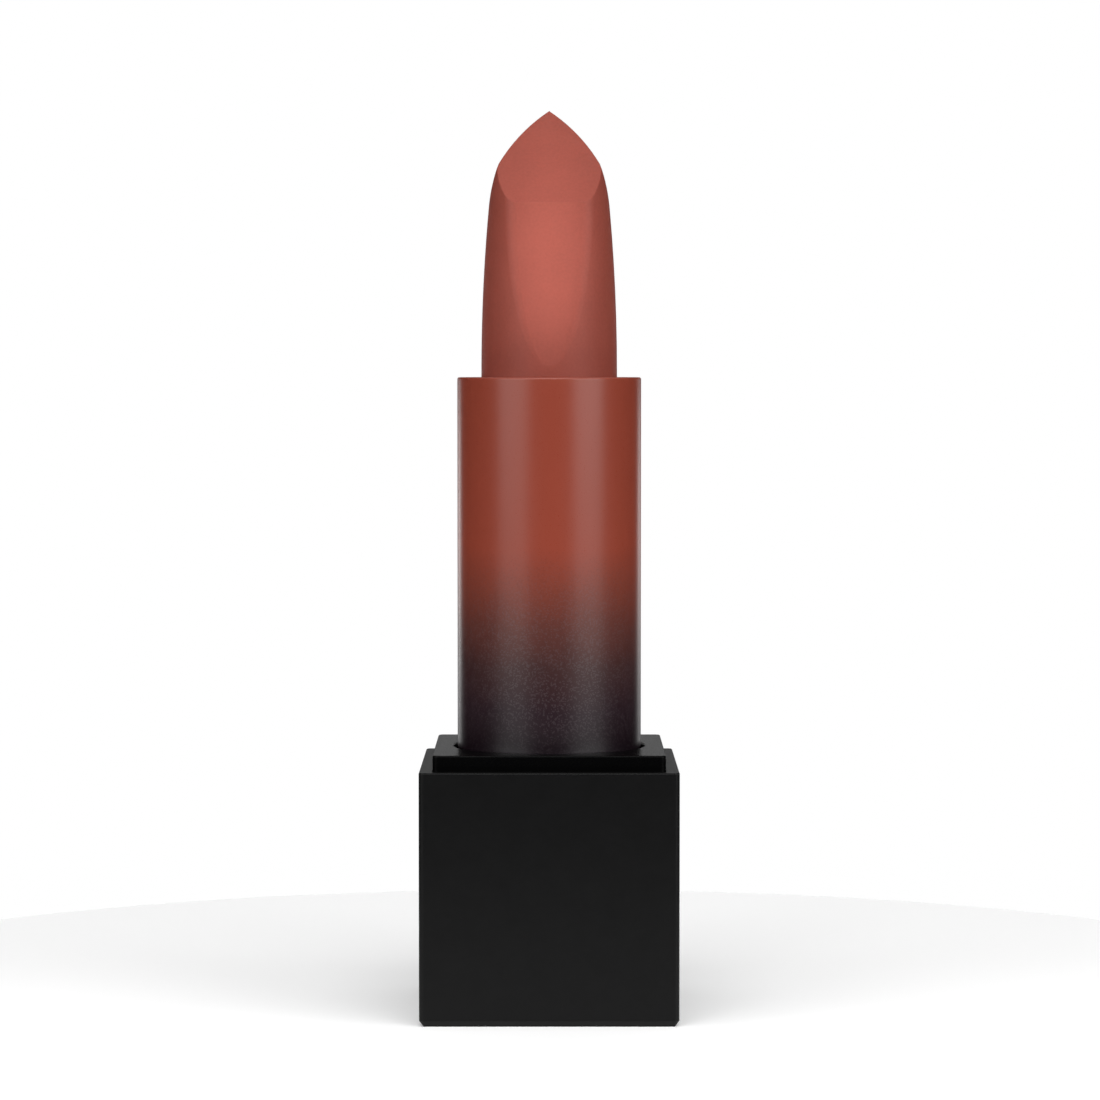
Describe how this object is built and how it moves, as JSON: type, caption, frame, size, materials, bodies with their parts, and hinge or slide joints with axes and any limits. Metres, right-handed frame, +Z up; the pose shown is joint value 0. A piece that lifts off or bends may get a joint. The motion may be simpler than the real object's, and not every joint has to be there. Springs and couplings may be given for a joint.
{
  "type": "lipstick case",
  "caption": "Twist-up lipstick case shown without a cap: a square black base with a stepped neck, a round lacquered tube that turns, and a slanted wax bullet that winds in and out.",
  "frame": {"origin": "middle of the square base, on the plane that it stands on", "axes": "+Z up along the axis that the tube turns about; -Y is the side that the bullet's slanted face looks to"},
  "size_m": [0.0228, 0.0228, 0.0803],
  "materials": {
    "base_black": "soft matte, near black",
    "cover_black": "moulded matte, near black",
    "label": "plain coated paper, blank",
    "steel": "zinc-plated",
    "foam": "closed-cell adhesive foam",
    "inner_plastic": "as moulded",
    "neck_black": "satin black",
    "magnet": "nickel-plated",
    "guide_black": "as moulded",
    "silicone": "translucent silicone",
    "tube_lacquer": "satin metallic lacquer, fading to near black at the foot",
    "cam_plastic": "natural acetal",
    "cup_plastic": "as moulded",
    "lipstick_wax": "smooth wax with a soft sheen"
  },
  "bodies": {
    "base": {"base_shell": "base_black", "bottom_cover": "cover_black", "shade_label": "label", "base_weight": "steel", "weight_pad": "foam", "mechanism_holder": "inner_plastic", "neck_collar": "neck_black", "closure_magnet_front_left": "magnet", "closure_magnet_front_right": "magnet", "closure_magnet_back_left": "magnet", "closure_magnet_back_right": "magnet", "guide_tube": "guide_black", "friction_ring": "silicone"},
    "tube": {"outer_tube": "tube_lacquer", "cam_sleeve": "cam_plastic"},
    "carrier": {"carrier_cup": "cup_plastic", "lipstick_bullet": "lipstick_wax"}
  },
  "joints": [
    {"name": "tube_turn", "type": "hinge", "parent": "base", "child": "tube", "pos_m": [0, 0, 0.0236], "axis": [0, 0, 1], "range_deg": [0, 540]},
    {"name": "cup_lift", "type": "slide", "parent": "base", "child": "carrier", "axis": [0, 0, 1], "range_m": [-0.0252, 0]}
  ],
  "couplings": [
    {"joint": "tube_turn", "follows": "cup_lift", "rad_per_m": -373.99}
  ]
}
